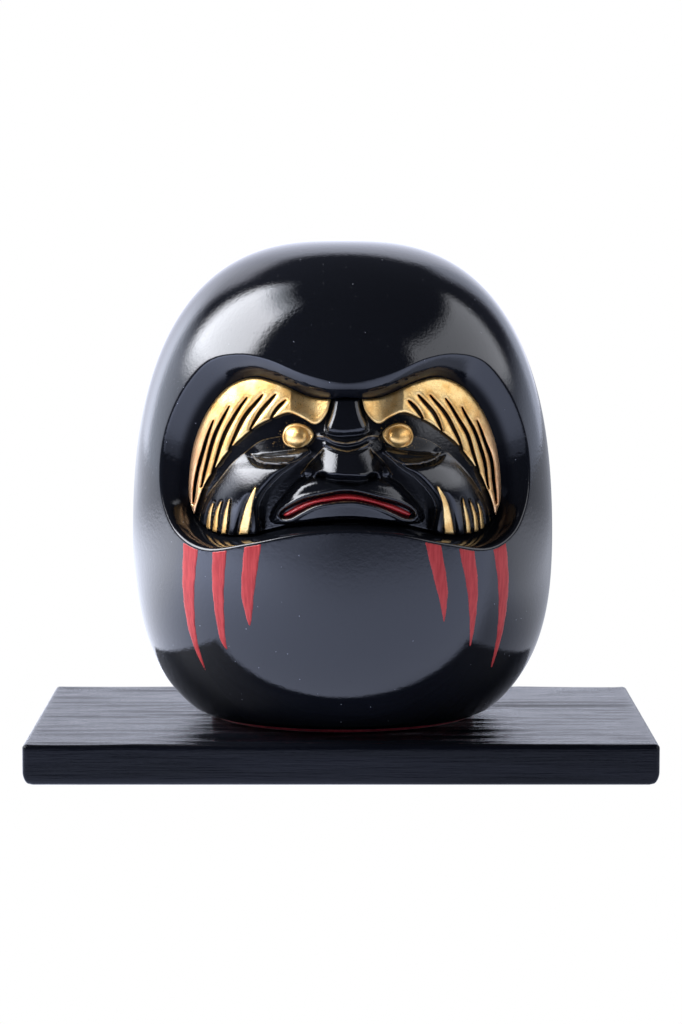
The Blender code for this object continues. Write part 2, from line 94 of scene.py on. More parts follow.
# face recess: half outlines from the top centre round to the bottom centre, matched point for point
RIM = [(0, 86.5), (10, 88.4), (19.5, 91.8), (27, 92.5), (34, 90.2), (39.8, 83.1), (43.8, 73.9),
       (45.3, 64.6), (44.6, 56.1), (41, 48.9), (34.2, 45.7), (24, 47.6), (12, 50.2), (0, 51.3)]
FLOOR_EDGE = [(0, 82.3), (8.3, 82.5), (16, 85.7), (22.5, 87), (28.5, 84.6), (33.4, 79), (36.9, 71.2),
              (38.4, 62.5), (38.1, 55.5), (35.3, 50.6), (30, 48.7), (21, 49.6), (10.5, 52.2), (0, 52.9)]
OUTLINE_STEPS = 10
RIM_ROUND = 0.45
FACE_INSET, SIDE_INSET, SEAT_INSET = 9.0, 7.5, 12.0
SIDE_SPREAD = 38.0
RIM_ROWS, RIM_TURN = (0.2, 0.4, 0.6, 0.8, 1.0), 0.08
WALL_ROWS = (0.15, 0.24, 0.34, 0.44, 0.54, 0.63, 0.71, 0.78, 0.84, 0.89, 0.93, 0.97, 1.0, 1.1, 1.4)
RECESS_CENTRE = (0.0, 67.0)
# how far out from the carving's edge the painted shade on the recess wall reaches
RECESS_SHADE_REACH = 4.4
# a region that holds the whole opening, and the level given to points far from an outline
OPENING_CENTRE, OPENING_REACH = (0.0, 69.0), (49.0, 27.0)
FAR = 9.0

# carved face: lines and outlines of its right half as (x, z)
FACE_CELL, FACE_THICK, FACE_FIT = 0.25, 2.6, 0.06
FACE_LOW, FACE_HIGH = (-39.5, 46.5), (39.5, 88.5)
COLUMN = [(0, 90), (3.5, 90), (3.5, 83), (4.1, 79), (5.3, 75.4), (4.3, 73.8), (0, 73.2)]
WRINKLES = [[(0, 71.9), (2.9, 72.3), (5.2, 73.2), (7.8, 73.1)],
            [(0, 70), (2.8, 70.5), (5.2, 71.4)]]
NOSE_TOP, NOSE_TIP = 69.6, 64.9
NOSE_WIDTHS = (5.9, 9.2)
WING_CENTRE, NOSTRIL_CENTRE = (9.2, 64.7), (5.9, 64.1)
ALA_LINE = [(5.3, 70.9), (7.5, 68.4), (9.6, 66), (11, 63.9)]
MUZZLE = [(0, 62.8), (4, 63.1), (7.2, 63.9), (11.2, 62.6), (14.1, 59.9), (16.7, 57), (18.2, 54.4),
          (17.6, 52.2), (12, 52.7), (6, 53.3), (0, 53.8)]
MOUTH = [(0, 60.6), (3.6, 60.2), (7.2, 59.3), (10.4, 58.4), (13.8, 57), (15.8, 55.7), (16.4, 54.4),
         (15.5, 53.6), (13.6, 53.9), (11.3, 55.1), (7.2, 56.8), (3.1, 57.7), (0, 57.9)]
LIPS = [(0, 59.7), (3.2, 59.4), (7.2, 58.4), (11.6, 56.9), (14.6, 55.3), (15.3, 54.5),
        (14.4, 54.3), (11.5, 55.5), (7, 57.2), (2.8, 58), (0, 58.2)]
LIP_CREST = [(0, 58.9), (3.1, 58.7), (7.2, 57.8), (11.4, 56.3), (14.8, 54.6)]
CHEEK_INNER = [(8.8, 69.2), (13.2, 65.7), (16.6, 63.2), (19.7, 60), (21.4, 56.8), (21.4, 53.5), (20.4, 49)]
CHEEK_OUTER = [(11, 74.4), (15.3, 73), (20.5, 71.5), (24.3, 68.9), (28, 65.6), (31.2, 61.6),
               (33.7, 57.6), (35.4, 52.5), (35.8, 48)]
LID_UPPER = [(8.9, 70), (13.3, 69), (17.8, 68.3), (21.2, 68.3), (22.9, 68.6)]
LID_LOWER = [(9.3, 68.9), (11.9, 67.4), (14.2, 66.7), (17.8, 66.5), (21, 67.1), (22.9, 68.6)]

# how far the parts of the carving stand out, and how deep its grooves are
GROUND_RISE, COLUMN_RISE, BRIDGE_RISE = 0.6, 3.9, 3.0
NOSE_RISE, WING_RISE, NOSTRIL_DEPTH = 4.3, 2.4, 1.7
MUZZLE_FOOT, MUZZLE_RISE, MUZZLE_MIDDLE, MOUTH_DEPTH = 1.2, 6.0, 59.4, 2.2
CHEEK_FOOT, CHEEK_RISE, CHEEK_TOP, WHISKER_FURROW = 0.6, 5.8, 60.5, 0.9
LID_RISE, LID_FURROW = 1.3, 1.5
BAG_HOLLOW = 0.66

# gilded brows and the slits that part their hairs; a sheet is a grid's span, heights, cell and thickness
BROW = [(4, 84), (10, 88), (22, 90), (33, 86), (39.5, 74), (41, 60), (39.5, 53), (37.2, 52.4),
        (36.2, 55.5), (34.4, 60.5), (31.2, 65.7), (26.4, 71.3), (20.8, 75.7), (16.4, 77.9), (13.6, 78.6),
        (10.4, 77.2), (8.4, 76), (6.7, 76.5), (5.2, 78.2), (4.2, 80.3)]
BROW_SLITS = [((14.8, 81.6), (18.4, 77.2)), ((17.2, 82.9), (23.2, 74.3)), ((20.3, 82.7), (28.3, 69.4)),
              ((24.1, 81.8), (32.6, 63.5)), ((28.3, 79.6), (35.2, 59.6)), ((32, 76.2), (37.2, 55.6))]
SLIT_BOW, SLIT_HALF_WIDTH = 0.055, 0.46
BROW_SHEET, BROW_FIT = ((3.0, 39.5), (51.0, 88.0), 0.22, 2.4), 0.12
BROW_RISE, BROW_FALL, BROW_SLOPE = 2.9, 0.9, 9.0
DISH_CENTRE, DISH_HALF, DISH_DEPTH = 8.8, 4.6, 1.8

# gilded eyes
EYE = [(8.2, 73.5), (9.6, 75.3), (12.2, 76.2), (14.7, 75.4), (15.8, 73), (14.9, 70.9), (12.3, 70.2),
       (9.8, 71.1)]
EYE_SHEET = ((7.5, 16.6), (69.5, 77.0), 0.11, 1.6)
EYE_CENTRE, EYE_DOME, EYE_LEAN = (12.35, 73.1), (2.75, 2.45), 0.35
EYE_RISE, EYE_BEAD = 1.55, 1.9

# gilded whiskers: centre lines from tip to foot, and half widths at the foot
WHISKERS = [([(21.9, 61.0), (23.4, 57.4), (24.2, 53.6), (24.8, 48)], 1.15),
            ([(28.3, 57.6), (29.0, 54.0), (29.7, 48)], 0.62),
            ([(30.3, 56.8), (31.2, 53.5), (31.9, 48)], 0.60),
            ([(32.2, 56.2), (32.9, 53.5), (33.6, 48)], 0.55)]
WHISKER_MARGIN, WHISKER_SHEET = 2.0, ((47.5, 62.0), 0.15, 1.2)

# red lips
LIPS_LOW, LIPS_HIGH, LIPS_CELL = (-16.0, 53.0), (16.0, 60.5), 0.14
LIPS_THICK, LIPS_SINK = 1.4, 2.0

# red strokes below the recess: centre line and half width at the top
STROKES = {
    "left_outer": ([(-37.4, 49), (-38.3, 36), (-37.2, 24), (-34, 14.4)], 1.95),
    "left_middle": ([(-30.4, 49), (-31, 36.5), (-30.1, 25), (-28.8, 21.2)], 1.85),
    "left_inner": ([(-22.2, 51), (-23.8, 37), (-23.6, 31), (-23.4, 27.6)], 2.1),
    "right_inner": ([(19.6, 52), (22.5, 38.5), (23.2, 33), (23.3, 28.4)], 1.95),
    "right_middle": ([(28.2, 49), (30.2, 38), (30.5, 29), (29.9, 21.2)], 1.95),
    "right_outer": ([(36.8, 49), (38.3, 37), (37.7, 25), (35.4, 14.2)], 1.85)}
STROKE_CELL, STROKE_BACK, PAINT_THICK = 0.3, 0.5, 0.14

# felt pad
PAD_STEPS = 240
PAD_FUZZ = 0.12
PAD_RADIUS = node_size("foot_pad").x / 2
PAD_LOW = (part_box("foot_pad")[0].z - DOLL_ZERO) / MM
PAD_HIGH = (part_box("foot_pad")[1].z - DOLL_ZERO) / MM

# board
BOARD_ROUND, BOARD_ROUND_STEPS = 1.3, 5
LOW_CORNER = 2.4
BOARD_STATIONS = 130
SECTION_STEPS = (150, 12, 50, 12)
# waves of the board's grain: height, how dense they are along x and across y, and seed
BOARD_GRAIN = ((0.07, (0.012, 0.16), 3), (0.02, (0.035, 0.9), 11), (0.10, (0.05, 0.05), 27),
               (0.42, (0.022, 0.20), 7))

# camera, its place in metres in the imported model's frame
CAMERA_LENS = 113.2
CAMERA_SPOT = Vector((0.0, -0.8121, 0.1411))
CAMERA_PITCH = math.radians(5.59)

# studio: each panel's azimuths from the viewer and elevations, in degrees, its soft edge and its light.
# The backdrop's azimuths are counted both ways round.
STUDIO_DARK = (0.06, 0.065, 0.09)
STUDIO_PANELS = {
    "softbox": ((-122, -68), (21, 58), 7, (13.0, 13.3, 14.2)),
    "softbox_spill": ((-122, -64), (55, 67), 4, (3.2, 3.4, 3.8)),
    "right_light": ((51, 126), (14, 44), 3.5, (1.9, 1.95, 2.1)),
    "backdrop_left": ((-160, -140), (-30, 44), 5, (1.35, 1.40, 1.62)),
    "backdrop": ((160, 400), (-30, 42), 5, (1.15, 1.20, 1.42)),
    "backdrop_right": ((147, 160), (-30, 38), 5, (0.80, 0.86, 1.05)),
    "table_left": ((-150, -104), (-30, 22), 9, (1.4, 1.52, 1.8)),
    "table_right": ((112, 150), (-30, 10), 8, (0.60, 0.66, 0.82))}
FLOOR_METRES, FLOOR_GAP = 6.0, 0.02
WHITE = (1.0, 1.0, 1.0)


# -------- curves and distances
def smooth_step(value, low, high):
    t = np.clip((value - low) / (high - low), 0.0, 1.0)
    return t * t * (3.0 - 2.0 * t)


def curve(points, closed=False, steps=6):
    """A smooth curve through the points, as an array of points."""
    points = np.array(points, float)
    count = len(points)
    share = np.arange(steps)[:, None] / steps
    made = []
    for i in range(count if closed else count - 1):
        places = [i - 1, i, i + 1, i + 2]
        if closed:
            places = [p % count for p in places]
        a, b, c, d = points[np.clip(places, 0, count - 1)]
        made.append(0.5 * (2 * b + (c - a) * share + (2 * a - 5 * b + 4 * c - d) * share**2
                           + (3 * b - a - 3 * c + d) * share**3))
    if not closed:
        made.append(points[-1:])
    return np.vstack(made)


def whole(half, steps=6):
    """A half outline, from top to bottom, mirrored into a smooth closed one."""
    left = [(-x, z) for x, z in half[-2:0:-1]]
    return curve(list(half) + left, True, steps)


def rim_outline():
    return whole(RIM, OUTLINE_STEPS)


def floor_outline():
    return whole(FLOOR_EDGE, OUTLINE_STEPS)


def spans(line, closed):
    ends = np.roll(line, -1, axis=0)
    return list(zip(line, ends)) if closed else list(zip(line[:-1], ends[:-1]))


def distance_along(spot, line, closed=False):
    """For each spot, its distance from the line and how far along it, from 0 to 1, the nearest point is."""
    near = np.full(len(spot), 1e9)
    along = np.zeros(len(spot))
    pairs = spans(line, closed)
    for i, (start, end) in enumerate(pairs):
        step = end - start
        share = np.clip(((spot - start) @ step) / (step @ step), 0.0, 1.0)
        gap = np.linalg.norm(spot - start - share[:, None] * step, axis=1)
        better = gap < near
        near = np.where(better, gap, near)
        along = np.where(better, (i + share) / len(pairs), along)
    return near, along


def distance(spot, line, closed=False):
    return distance_along(spot, line, closed)[0]


def depth_in(spot, outline):
    """Distance to a closed outline, positive inside it and negative outside."""
    inside = np.zeros(len(spot), bool)
    for start, end in spans(outline, True):
        crosses = (start[1] > spot[:, 1]) != (end[1] > spot[:, 1])
        rise = end[1] - start[1] if end[1] != start[1] else 1.0
        level_x = start[0] + (spot[:, 1] - start[1]) * (end[0] - start[0]) / rise
        inside ^= crosses & (spot[:, 0] < level_x)
    gap = distance(spot, outline, True)
    return np.where(inside, gap, -gap)


def round_edge(depth, radius):
    """Height share of a surface that rounds down to 0 at its edge over this radius."""
    near = 1.0 - np.clip(depth / radius, 0.0, 1.0)
    return np.sqrt(np.clip(1.0 - near * near, 0.0, 1.0))


def bump(gap, width):
    return np.exp(-((gap / width) ** 2))


def oval(spot, centre, stretch):
    """Distance from the centre, divided by the stretch along x and along z."""
    return np.linalg.norm((spot - centre) / stretch, axis=1)


def halved(spot):
    """Both halves of the face folded onto the right one."""
    return np.column_stack([np.abs(spot[:, 0]), spot[:, 1]])


# -------- meshes
def slope_of(level, spot, step):
    across = level(spot + (step, 0)) - level(spot - (step, 0))
    upward = level(spot + (0, step)) - level(spot - (0, step))
    return np.column_stack([across, upward]) / (2 * step)


def cut_polygon(corners, value, crossing):
    """The part of one cell where the value isn't negative."""
    kept = []
    for here, there in zip(corners, corners[1:] + corners[:1]):
        if value[here] >= 0:
            kept.append(here)
        if value[here] * value[there] < 0:
            kept.append(crossing(here, there))
    return kept


def snap_to_edge(spot, value, level, cell):
    """Moves the spots next to the line where level is 0 onto it."""
    near = np.abs(value) < 0.3 * cell
    if near.any():
        slope = slope_of(level, spot[near], 0.1 * cell)
        steep = np.maximum((slope**2).sum(1), 0.25)
        spot[near] -= (value[near] / steep)[:, None] * slope
        value[near] = 0.0


def without_spares(spot, faces):
    """The spots that the faces use, and the faces numbered for them."""
    used = np.unique(np.concatenate([np.ravel(face) for face in faces]))
    renumbered = np.zeros(len(spot), int)
    renumbered[used] = np.arange(len(used))
    return spot[used], [renumbered[face].tolist() for face in faces]


def clipped_grid(across, upward, level, wrap=False):
    """A grid cut off cleanly where level falls below 0: its points, and its faces anticlockwise."""
    rows = len(upward)
    spot = np.stack(np.meshgrid(across, upward, indexing="ij"), -1).reshape(-1, 2)
    value = level(spot)
    snap_to_edge(spot, value, level, min(across[1] - across[0], upward[1] - upward[0]))
    columns = len(across) if wrap else len(across) - 1
    first = np.arange(columns)[:, None] * rows + np.arange(rows - 1)
    second = (np.arange(1, columns + 1) % len(across))[:, None] * rows + np.arange(rows - 1)
    cells = np.stack([first, second, second + 1, first + 1], -1).reshape(-1, 4)
    corner = value[cells]
    faces = cells[(corner.min(1) >= 0) & (corner.max(1) > 0)].tolist()
    extra, crossings = [], {}

    def crossing(here, there):
        key = (min(here, there), max(here, there))
        if key not in crossings:
            share = value[here] / (value[here] - value[there])
            extra.append(spot[here] + (spot[there] - spot[here]) * share)
            crossings[key] = len(spot) + len(extra) - 1
        return crossings[key]

    for corners in cells[(corner.min(1) < 0) & (corner.max(1) > 0)].tolist():
        kept = cut_polygon(corners, value, crossing)
        if len(kept) > 2:
            faces.append(kept)
    return without_spares(np.vstack([spot, *extra]), faces)


def open_edges(faces):
    """Edges with a face on one side only, in that face's own direction."""
    found = set()
    for face in faces:
        found.update(zip(face, face[1:] + face[:1]))
    return [(a, b) for a, b in found if (b, a) not in found]


def open_loops(faces):
    """The rings of points round the openings."""
    following = dict(open_edges(faces))
    loops = []
    while following:
        start = min(following)
        loop = [start]
        there = following.pop(start)
        while there != start:
            loop.append(there)
            there = following.pop(there)
        loops.append(loop)
    return loops


def bridge(before, after):
    """Faces between two rings of as many points."""
    pairs = list(zip(before, after))
    return [[there[0], here[0], here[1], there[1]] for here, there in zip(pairs, pairs[1:] + pairs[:1])]


def new_object(name, data):
    obj = bpy.data.objects.new(name, data)
    bpy.context.scene.collection.objects.link(obj)
    return obj


def make_object(name, points, faces, place, merge=False):
    """A smooth-shaded mesh object from points in the frame that place describes."""
    matrix = np.array(place)
    world = np.asarray(points) @ matrix[:3, :3].T + matrix[:3, 3]
    mesh = bpy.data.meshes.new(name)
    mesh.from_pydata(world.tolist(), [], faces)
    if merge:
        shape = bmesh.new()
        shape.from_mesh(mesh)
        bmesh.ops.remove_doubles(shape, verts=shape.verts, dist=0.002 * MM)
        bmesh.ops.dissolve_degenerate(shape, edges=shape.edges, dist=0.001 * MM)
        shape.to_mesh(mesh)
        shape.free()
    mesh.shade_smooth()
    return new_object(name, mesh)


def finish_piece(obj, material, node):
    """Lets the piece stand for a node, on the same body, with the material it is given."""
    obj.data.materials.append(material)
    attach(obj, BODIES[node])
    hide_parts(node)


def store(obj, name, values):
    """Keeps one number for each point of the mesh, for its material to read."""
    layer = obj.data.attributes.new(name, "FLOAT", "POINT")
    layer.data.foreach_set("value", np.asarray(values, np.float32))


def doll_spots(obj):
    """x and z of the mesh's points in the doll's frame."""
    inverse = DOLL_FRAME.inverted()
    return np.array([inverse @ v.co for v in obj.data.vertices])[:, [0, 2]]


def plate(name, low, high, cell, level, front, thick):
    """A closed thin piece over the part of the x-z plane where level is positive: a front sheet, a back
    sheet behind it and the edge between them. front gives y for points and their levels."""
    across = np.arange(low[0], high[0] + cell, cell)
    upward = np.arange(low[1], high[1] + cell, cell)
    flat, faces = clipped_grid(across, upward, level)
    y = front(flat, np.maximum(level(flat), 0.0))
    count = len(flat)
    fore = np.insert(flat, 1, y, axis=1)
    aft = fore + (0.0, thick, 0.0)
    sides = [[b, a, a + count, b + count] for a, b in open_edges(faces)]
    backs = [[i + count for i in reversed(face)] for face in faces]
    return make_object(name, np.vstack([fore, aft]), faces + backs + sides, DOLL_FRAME)


# -------- body
def body_radius(z, inset=0.0):
    """Radius at height z of the body's surface, or of the surface this far inside it."""
    z = np.asarray(z, float)
    p, q = CROWN_POWERS
    t = np.clip((z - CROWN_BASE) / (CROWN_RISE - inset), 0.0, 1.0)
    crown = (1.0 - t**p) ** (1.0 / q)
    p, q = FOOT_POWERS
    t = np.clip((FOOT_BASE - z) / (FOOT_DROP - inset), 0.0, 1.0)
    foot = (1.0 - t**p) ** (1.0 / q)
    share = smooth_step(z, *BELLY_BLEND)
    return (BODY_RADIUS - inset) * (foot + (crown - foot) * share)


def surface_y(x, z, inset=0.0):
    """y of the front of that surface, which is never nearer the axis than LEAST_DEPTH."""
    radius = body_radius(z, inset)
    return -np.sqrt(np.maximum(radius * radius - x * x, LEAST_DEPTH**2))


def floor_inset(x):
    """Depth of the recess's floor, which grows shallower towards the sides."""
    return FACE_INSET + (SIDE_INSET - FACE_INSET) * np.clip(np.abs(x) / SIDE_SPREAD, 0, 1.1) ** 2


def ground_y(spot):
    """y of the recess's floor, the ground that the carving stands on."""
    return surface_y(*spot.T, floor_inset(spot[:, 0]))


def brow_height(x, inside):
    """How far a brow stands out, this far inside the carving's edge: least in the dish at its inner end."""
    across = np.clip((x - DISH_CENTRE) / DISH_HALF, -1, 1)
    dish = np.where(x < DISH_CENTRE + DISH_HALF, DISH_DEPTH * (1 - across**2), 0.0)
    fall = BROW_FALL * smooth_step(inside, 0.0, BROW_SLOPE) * smooth_step(x, 10, 16)
    return BROW_RISE - dish - fall


def body_profile():
    """Points (radius, z) from the rounded foot edge to the crown's centre, and the length up to each."""
    corner = float(body_radius(FOOT_HEIGHT))
    turn = np.linspace(0.0, math.pi / 2, PROFILE_STEPS[0] + 1)[:-1]
    edge = np.column_stack([corner - FOOT_EDGE + FOOT_EDGE * np.sin(turn),
                            FOOT_HEIGHT + FOOT_EDGE * (1 - np.cos(turn))])
    side_z = np.linspace(FOOT_HEIGHT + FOOT_EDGE, PROFILE_JOIN, PROFILE_STEPS[1])
    lowest = math.asin(((PROFILE_JOIN - CROWN_BASE) / CROWN_RISE) ** (CROWN_POWERS[0] / 2))
    angle = np.linspace(lowest, math.pi / 2, PROFILE_STEPS[2])[1:]
    crown_z = CROWN_BASE + CROWN_RISE * np.sin(angle) ** (2 / CROWN_POWERS[0])
    heights = np.concatenate([side_z, crown_z])
    radii = body_radius(heights)
    dense = np.vstack([edge, np.column_stack([radii, heights])])
    dense[-1, 0] = 0.0
    length = np.concatenate([[0.0], np.cumsum(np.linalg.norm(np.diff(dense, axis=0), axis=1))])
    return dense, length


def at_share(line, share):
    """Points this share of the way round a closed line."""
    place = np.asarray(share) * len(line)
    index = np.floor(place).astype(int)
    part = (place - index)[:, None]
    return line[index % len(line)] * (1 - part) + line[(index + 1) % len(line)] * part


def wall_points(rim, edge, share, part):
    """Points of the recess's wall, from the rim at part 0 to the edge of the carving at part 1 and under it
    beyond. The wall starts almost upright and curves inwards, most of all above the brows."""
    outer, inner = at_share(rim, share), at_share(edge, share)
    bend = 1.5 + 1.4 * smooth_step(inner[:, 1], 62.0, 82.0)
    sink = min(part, 1.0) ** bend + max(part - 1.0, 0.0) * 3.0
    flat = outer * (1 - part) + inner * part
    outer_y = surface_y(*outer.T)
    brow = brow_height(np.abs(inner[:, 0]), 0.0)
    inner_y = ground_y(inner) - (brow - 0.3) * smooth_step(inner[:, 1], 52.0, 60.0)
    return np.column_stack([flat[:, 0], outer_y + (inner_y - outer_y) * sink, flat[:, 1]])


def body_sheet(rim):
    """The turned surface with the recess's opening cut out of it: its points and faces."""
    dense, length = body_profile()

    def lifted(spot):
        radius = np.interp(spot[:, 1], length, dense[:, 0])
        z = np.interp(spot[:, 1], length, dense[:, 1])
        angle = spot[:, 0] / BODY_RADIUS
        return np.column_stack([radius * np.sin(angle), -radius * np.cos(angle), z])

    def level(spot):
        point = lifted(spot)
        aside = np.abs(point[:, [0, 2]] - OPENING_CENTRE)
        front = (point[:, 1] < 0) & (aside < OPENING_REACH).all(1)
        value = np.full(len(spot), FAR)
        value[front] = -RIM_ROUND - depth_in(point[front][:, [0, 2]], rim)
        return value

    columns = round(2 * math.pi * BODY_RADIUS / BODY_CELL)
    across = (np.arange(columns) / columns - 0.5) * 2 * math.pi * BODY_RADIUS
    upward = np.linspace(0.0, length[-1], round(length[-1] / BODY_CELL))
    spot, faces = clipped_grid(across, upward, level, wrap=True)
    return lifted(spot), faces


def recess_rows(start, rim, edge):
    """Rings of points from the opening's edge over the rounded rim, down the wall and under the carving."""
    share = distance_along(start[:, [0, 2]], rim, True)[1]
    corner = wall_points(rim, edge, share, 0.0)
    inner = wall_points(rim, edge, share, RIM_TURN)
    rows = [(1 - t) ** 2 * start + 2 * t * (1 - t) * corner + t * t * inner for t in RIM_ROWS]
    return rows + [wall_points(rim, edge, share, part) for part in WALL_ROWS]


def make_body(glaze):
    rim, edge = rim_outline(), floor_outline()
    points, faces = body_sheet(rim)
    foot, opening = sorted(open_loops(faces), key=lambda loop: points[loop][:, 2].mean())[:2]
    rows, before, total = [points], opening, len(points)
    for row in recess_rows(points[opening], rim, edge):
        after = list(range(total, total + len(row)))
        faces += bridge(before, after)
        rows.append(row)
        before = after
        total += len(row)
    back_y = float(surface_y(0.0, RECESS_CENTRE[1], SEAT_INSET))
    rows.append([[RECESS_CENTRE[0], back_y, RECESS_CENTRE[1]]])
    faces += [[there, here, total] for here, there in zip(before, before[1:] + before[:1])]
    faces.append(foot[::-1])
    obj = make_object("body_glaze", np.vstack(rows), faces, DOLL_FRAME, merge=True)
    # painted shade: the glaze's reflection is turned down on the recess wall, most next to the carving's
    # edge and fading out a few millimetres from it
    spot = doll_spots(obj)
    inside_rim = smooth_step(depth_in(spot, rim), 0.4, 1.2)
    front = np.array([v.co.y for v in obj.data.vertices]) < 0
    store(obj, "hollow", front * inside_rim * smooth_step(depth_in(spot, edge), -RECESS_SHADE_REACH, -0.8))
    finish_piece(obj, glaze, "body_shell")


# -------- carved face
def hand_drift(spot):
    """Small unevenness of hand carving, unlike on the two sides."""
    x, z = spot.T
    across = 0.16 * np.sin(z / 4.1 + x / 6.3 + 0.7) + 0.08 * np.sin(z / 1.7 - x / 2.3)
    upward = 0.16 * np.sin(x / 4.9 + z / 5.9 + 2.1) + 0.08 * np.sin(x / 1.9 + z / 2.6)
    return spot + np.column_stack([across * np.clip(np.abs(x) / 6, 0, 1), upward])


def column_height(spot):
    depth = depth_in(spot, whole(COLUMN))
    return COLUMN_RISE * round_edge(depth, 2.0)


def bridge_height(spot):
    """The mass between the eyes, with its two wrinkles."""
    x, z = spot.T
    mass = BRIDGE_RISE * np.exp(-((x / 7.0) ** 2) - np.abs((z - 71.0) / 4.4) ** 4)
    rolls = sum(0.5 * bump(distance(spot, curve(line)), 0.5) for line in WRINKLES)
    valleys = 0.4 * bump(z - 73.2 - 0.03 * x * x, 0.5) + 0.4 * bump(z - 71.0 - 0.04 * x * x, 0.45)
    return mass + (rolls - valleys * np.exp(-((x / 5.5) ** 4))) * smooth_step(8.5 - x, 0, 3)


def nose_height(spot):
    """A flat ridge with curved sides spreading to the tip, an underside with nostrils, and the wings."""
    x, z = spot.T
    down = np.clip((NOSE_TOP - z) / (NOSE_TOP - NOSE_TIP), -0.2, 1.0)
    half = NOSE_WIDTHS[0] + (NOSE_WIDTHS[1] - NOSE_WIDTHS[0]) * np.clip(down, 0, 1)
    ridge = NOSE_RISE + 2.1 * down + 0.7 * down**2
    beside = np.maximum(x - 2.0 - 0.5 * down, 0.0)
    front = ridge - 0.34 * beside - 0.075 * beside**2
    lower_edge = 64.5 + 1.2 * bump(x - 6.4, 1.9)
    under = ridge - (lower_edge - z) * 2.4
    front = np.minimum(front, np.where(z < lower_edge, under, 99.0))
    front = np.minimum(front, 2.2 + (NOSE_TOP + 0.7 - z) * 2.5)
    front = np.where(x < half, front, front - (x - half) * 3.0)
    wing = WING_RISE * round_edge(1.9 - oval(spot, WING_CENTRE, (1.1, 0.95)), 1.7)
    nostril = NOSTRIL_DEPTH * smooth_step(1.25 - oval(spot, NOSTRIL_CENTRE, (1.25, 0.8)), 0.0, 0.7)
    inside = smooth_step(half + 1.8 - x, 0.0, 0.8) * smooth_step(z, 61.6, 62.4)
    return (np.maximum(front, wing) - nostril) * inside


def muzzle_height(spot):
    x, z = spot.T
    depth = depth_in(spot, whole(MUZZLE))
    middle = MUZZLE_MIDDLE - 0.016 * x * x
    above = np.clip(z - middle, 0, 9)
    upper = MUZZLE_RISE - 0.12 * above - 0.022 * above**2
    lower = MUZZLE_RISE - 0.13 * np.clip(middle - z, 0, 9)
    height = np.where(z > middle, upper, lower) - 0.0085 * x * x
    sides = round_edge(depth, 2.4)
    below = round_edge(np.where(z < 56.5 - 0.012 * x * x, depth, FAR), 0.7)
    sides = np.where(z < middle - 1.5, np.maximum(sides, round_edge(18.6 - x, 4.5)), sides)
    return np.where(depth > 0, MUZZLE_FOOT + (height - MUZZLE_FOOT) * sides * below, 0.0)


def mouth_cut(spot):
    """Depth of the mouth's groove, less the raised edge round it."""
    depth = depth_in(spot, whole(MOUTH))
    return MOUTH_DEPTH * smooth_step(depth, -0.1, 0.8) - 0.3 * bump(depth + 0.45, 0.4)


def cheek_height(spot):
    """A jowl that climbs from its outer line to a crest by its inner edge, then drops."""
    z = spot[:, 1]
    inner, outer = curve(CHEEK_INNER), curve(CHEEK_OUTER)
    outline = np.vstack([inner, outer[::-1]])
    depth = depth_in(spot, outline)
    from_inner, from_outer = distance(spot, inner), distance(spot, outer)
    share = from_outer / (from_outer + from_inner + 1e-6)
    bow = 2.3 - 1.3 * smooth_step(z, 64.5, 68.5)
    climb = 1.0 - (1.0 - np.clip(share, 0, 1)) ** bow
    top = CHEEK_RISE * (1 - ((z - CHEEK_TOP) / np.where(z < CHEEK_TOP, 16.5, 25.0)) ** 2)
    over_lid = z - np.interp(spot[:, 0], *np.transpose(LID_UPPER))
    hollow = BAG_HOLLOW * smooth_step(over_lid, -0.2, 0.7) * smooth_step(25.0 - spot[:, 0], 0.0, 3.0)
    height = CHEEK_FOOT + top * climb * (1 - hollow) * round_edge(from_inner, 1.6)
    return np.where(depth > 0, height, 0.0)


def lid_height(spot):
    """The lower lid, a leaf that stands out along its lower line over a furrow."""
    upper, lower = curve(LID_UPPER), curve(LID_LOWER)
    outline = np.vstack([upper, lower[::-1]])
    depth = depth_in(spot, outline)
    from_upper, from_lower = distance(spot, upper), distance(spot, lower)
    share = from_upper / (from_upper + from_lower + 1e-6)
    leaf = np.where(depth > 0, LID_RISE * share**2.4 * round_edge(from_lower, 0.3), 0.0)
    furrow = np.where(depth < 0, LID_FURROW * bump(from_lower, 0.9), 0.0)
    return leaf, furrow


def whisker_distance(spot, number):
    """Distance outside the edge of one whisker, negative inside it."""
    line, half_width = WHISKERS[number]
    gap, along = distance_along(spot, curve(line))
    return gap - half_width * (0.12 + 0.88 * np.clip(along * 1.25, 0, 1) ** 0.8)


def whisker_furrows(spot):
    """Furrows carved beside the whiskers."""
    cut = np.zeros(len(spot))
    for number in range(len(WHISKERS)):
        gap = whisker_distance(spot, number)
        reach = 1.3 if number == 0 else 0.5
        outside = np.where(spot[:, 0] > 23.2, 1.0, 0.35)
        cut = np.maximum(cut, outside * bump(np.maximum(gap, 0) - 0.35 * reach, 0.45 * reach) * (gap > 0))
    return WHISKER_FURROW * cut * smooth_step(60.0 - spot[:, 1], 0.0, 3.0)


def carving(spot):
    """How far the carved face stands out from its ground."""
    spot = halved(hand_drift(spot))
    leaf, furrow = lid_height(spot)
    cheek = cheek_height(spot) - furrow - whisker_furrows(spot)
    muzzle = muzzle_height(spot) - mouth_cut(spot) * smooth_step(18.5 - spot[:, 0], 0, 1)
    parts = [column_height(spot), bridge_height(spot), nose_height(spot), muzzle, cheek]
    return np.maximum(GROUND_RISE, np.maximum.reduce(parts)) + leaf


def face_y(spot):
    return ground_y(spot) - carving(spot)


